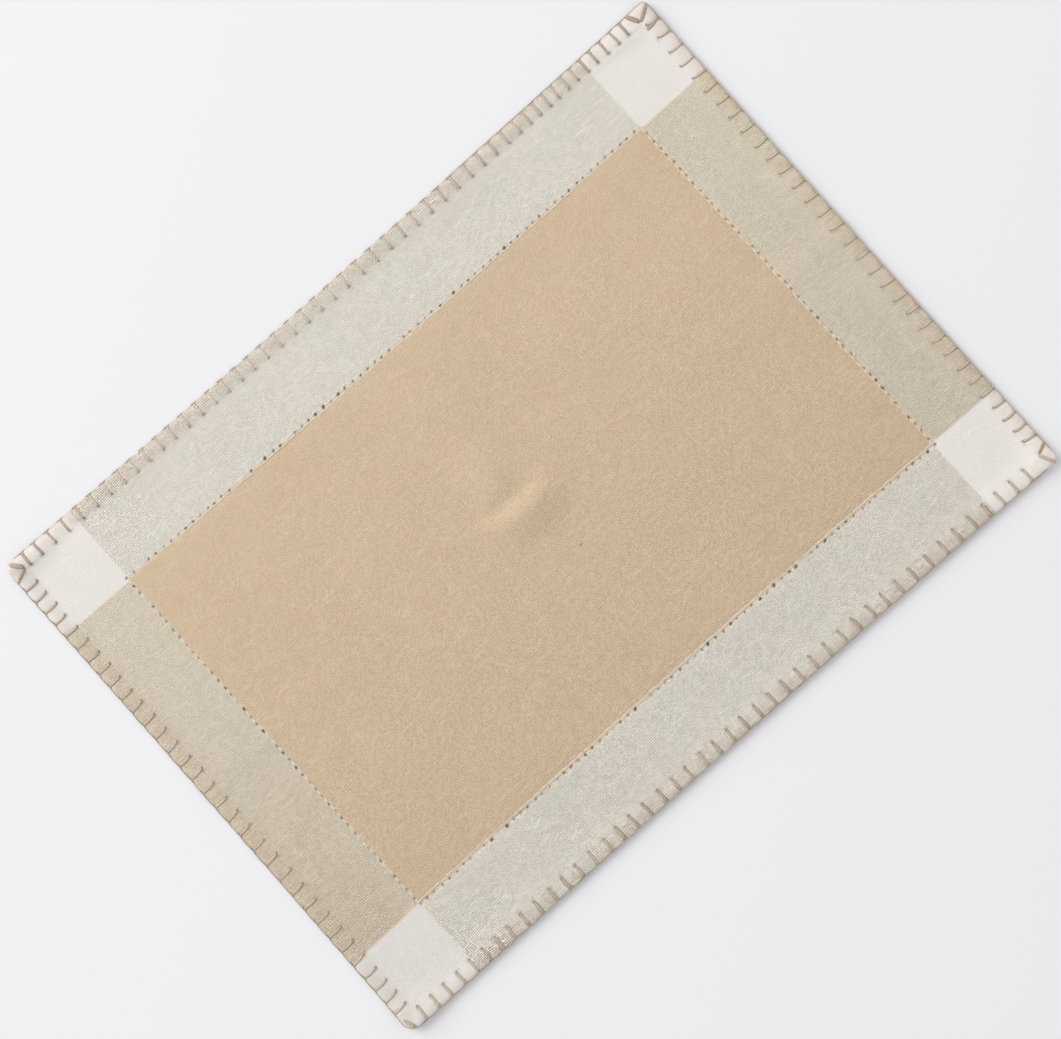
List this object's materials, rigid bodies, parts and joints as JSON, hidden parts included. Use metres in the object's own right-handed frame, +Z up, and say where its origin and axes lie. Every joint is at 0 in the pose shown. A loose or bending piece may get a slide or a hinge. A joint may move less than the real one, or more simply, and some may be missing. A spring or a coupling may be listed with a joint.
{
  "type": "fabric placemat",
  "caption": "Rectangular woven cloth placemat lying flat, with a folded blanket-stitched hem, a drawn-thread line round its middle panel and a small pucker at the centre.",
  "frame": {"origin": "centre of the bounding box at the level of the underside", "axes": "+X along the long side, +Y along the short side, +Z up out of the cloth's face"},
  "size_m": [0.4651, 0.3329, 0.0043],
  "materials": {
    "cloth": "matt plain-woven linen and cotton: tan middle panel, pale grey-beige and khaki borders, off-white corner squares",
    "yarn": "matt twisted taupe sewing yarn"
  },
  "bodies": {
    "root": {"mat": "cloth"}
  },
  "joints": []
}
